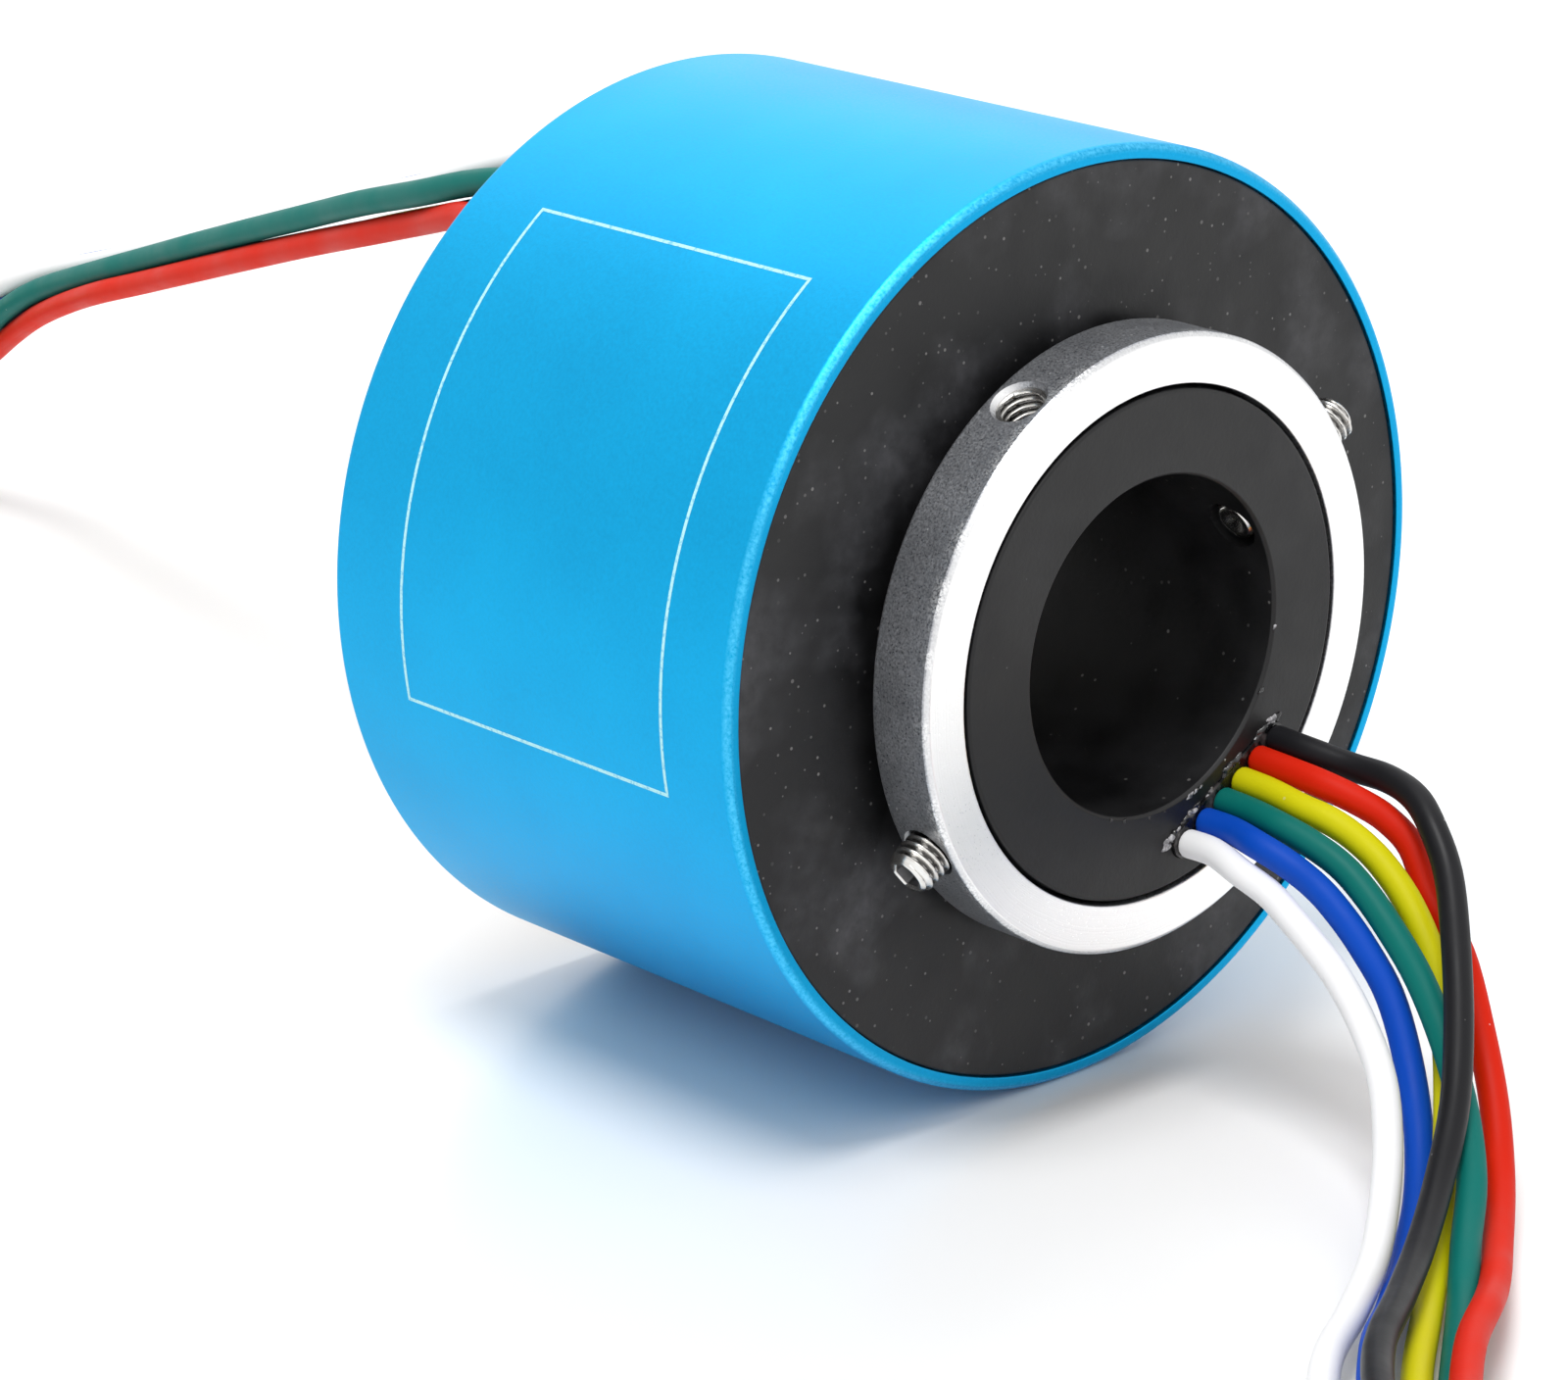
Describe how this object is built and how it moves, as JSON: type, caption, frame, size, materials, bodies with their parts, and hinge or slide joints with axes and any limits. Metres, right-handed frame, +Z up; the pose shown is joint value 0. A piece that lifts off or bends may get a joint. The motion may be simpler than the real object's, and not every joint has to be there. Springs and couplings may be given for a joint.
{
  "type": "slip ring",
  "caption": "Through-bore slip ring: a turning sleeve carries electrical circuits through a fixed barrel, with flying leads at both ends.",
  "frame": {"origin": "on the shaft axis, in the plane of the barrel's front rim", "axes": "+X along the shaft bore towards the clamp collar, +Z up, away from the surface that the barrel and its leads lie on"},
  "size_m": [0.2738, 0.0785, 0.056],
  "materials": {
    "blue_anodised_aluminium": "satin anodised",
    "dark_moulding": "matt, glass-filled",
    "bearing_steel": "ground",
    "carrier_board": "matt",
    "brush_wire": "gold plated",
    "potting": "glossy resin",
    "lead_black": "smooth insulation",
    "lead_red": "smooth insulation",
    "lead_yellow": "smooth insulation",
    "lead_green": "smooth insulation",
    "lead_blue": "smooth insulation",
    "lead_white": "smooth insulation",
    "lead_coil": "smooth insulation",
    "tie_nylon": "moulded",
    "tinned_copper": "tinned",
    "cage_brass": "pressed",
    "machined_aluminium": "fine turned",
    "screw_steel": "bright",
    "ring_brass": "turned, gold plated",
    "insulator_plastic": "matt, engineering plastic",
    "spring_steel": "phosphated"
  },
  "bodies": {
    "stator": {"housing": "blue_anodised_aluminium", "front_cover": "dark_moulding", "rear_cover": "dark_moulding", "front_bearing_outer_race": "bearing_steel", "rear_bearing_outer_race": "bearing_steel", "brush_carrier": "carrier_board", "brush_1": "brush_wire", "brush_2": "brush_wire", "brush_3": "brush_wire", "brush_4": "brush_wire", "brush_5": "brush_wire", "brush_6": "brush_wire", "stator_lead_potting": "potting", "stator_lead_black": "lead_black", "stator_lead_red": "lead_red", "stator_lead_yellow": "lead_yellow", "stator_lead_green": "lead_green", "stator_lead_blue": "lead_blue", "stator_lead_white": "lead_white", "stator_lead_coil": "lead_coil", "stator_lead_tie": "tie_nylon", "stator_lead_tips": "tinned_copper"},
    "rotor": {"rotor_sleeve": "dark_moulding", "clamp_collar": "machined_aluminium", "set_screws": "screw_steel", "contact_ring_1": "ring_brass", "contact_ring_2": "ring_brass", "contact_ring_3": "ring_brass", "contact_ring_4": "ring_brass", "contact_ring_5": "ring_brass", "contact_ring_6": "ring_brass", "ring_insulator_1": "insulator_plastic", "ring_insulator_2": "insulator_plastic", "ring_insulator_3": "insulator_plastic", "ring_insulator_4": "insulator_plastic", "ring_insulator_5": "insulator_plastic", "ring_insulator_6": "insulator_plastic", "ring_insulator_7": "insulator_plastic", "front_bearing_inner_race": "bearing_steel", "rear_bearing_inner_race": "bearing_steel", "retaining_ring": "spring_steel", "rotor_lead_potting": "potting", "rotor_lead_black": "lead_black", "rotor_lead_red": "lead_red", "rotor_lead_yellow": "lead_yellow", "rotor_lead_green": "lead_green", "rotor_lead_blue": "lead_blue", "rotor_lead_white": "lead_white", "rotor_lead_coil": "lead_coil", "rotor_lead_tie": "tie_nylon", "rotor_lead_tips": "tinned_copper"},
    "front_ball_set": {"front_bearing_balls": "bearing_steel", "front_bearing_cage": "cage_brass"},
    "rear_ball_set": {"rear_bearing_balls": "bearing_steel", "rear_bearing_cage": "cage_brass"}
  },
  "joints": [
    {"name": "rotor_spin", "type": "hinge", "parent": "stator", "child": "rotor", "pos_m": [0, 0, 0], "axis": [1, 0, 0], "continuous": true},
    {"name": "front_balls_roll", "type": "hinge", "parent": "stator", "child": "front_ball_set", "pos_m": [-0.00315, 0, 0], "axis": [1, 0, 0], "continuous": true},
    {"name": "rear_balls_roll", "type": "hinge", "parent": "stator", "child": "rear_ball_set", "pos_m": [-0.03025, 0, 0], "axis": [1, 0, 0], "continuous": true}
  ],
  "couplings": [
    {"joint": "front_balls_roll", "follows": "rotor_spin", "ratio": 0.4701},
    {"joint": "rear_balls_roll", "follows": "rotor_spin", "ratio": 0.4701}
  ]
}
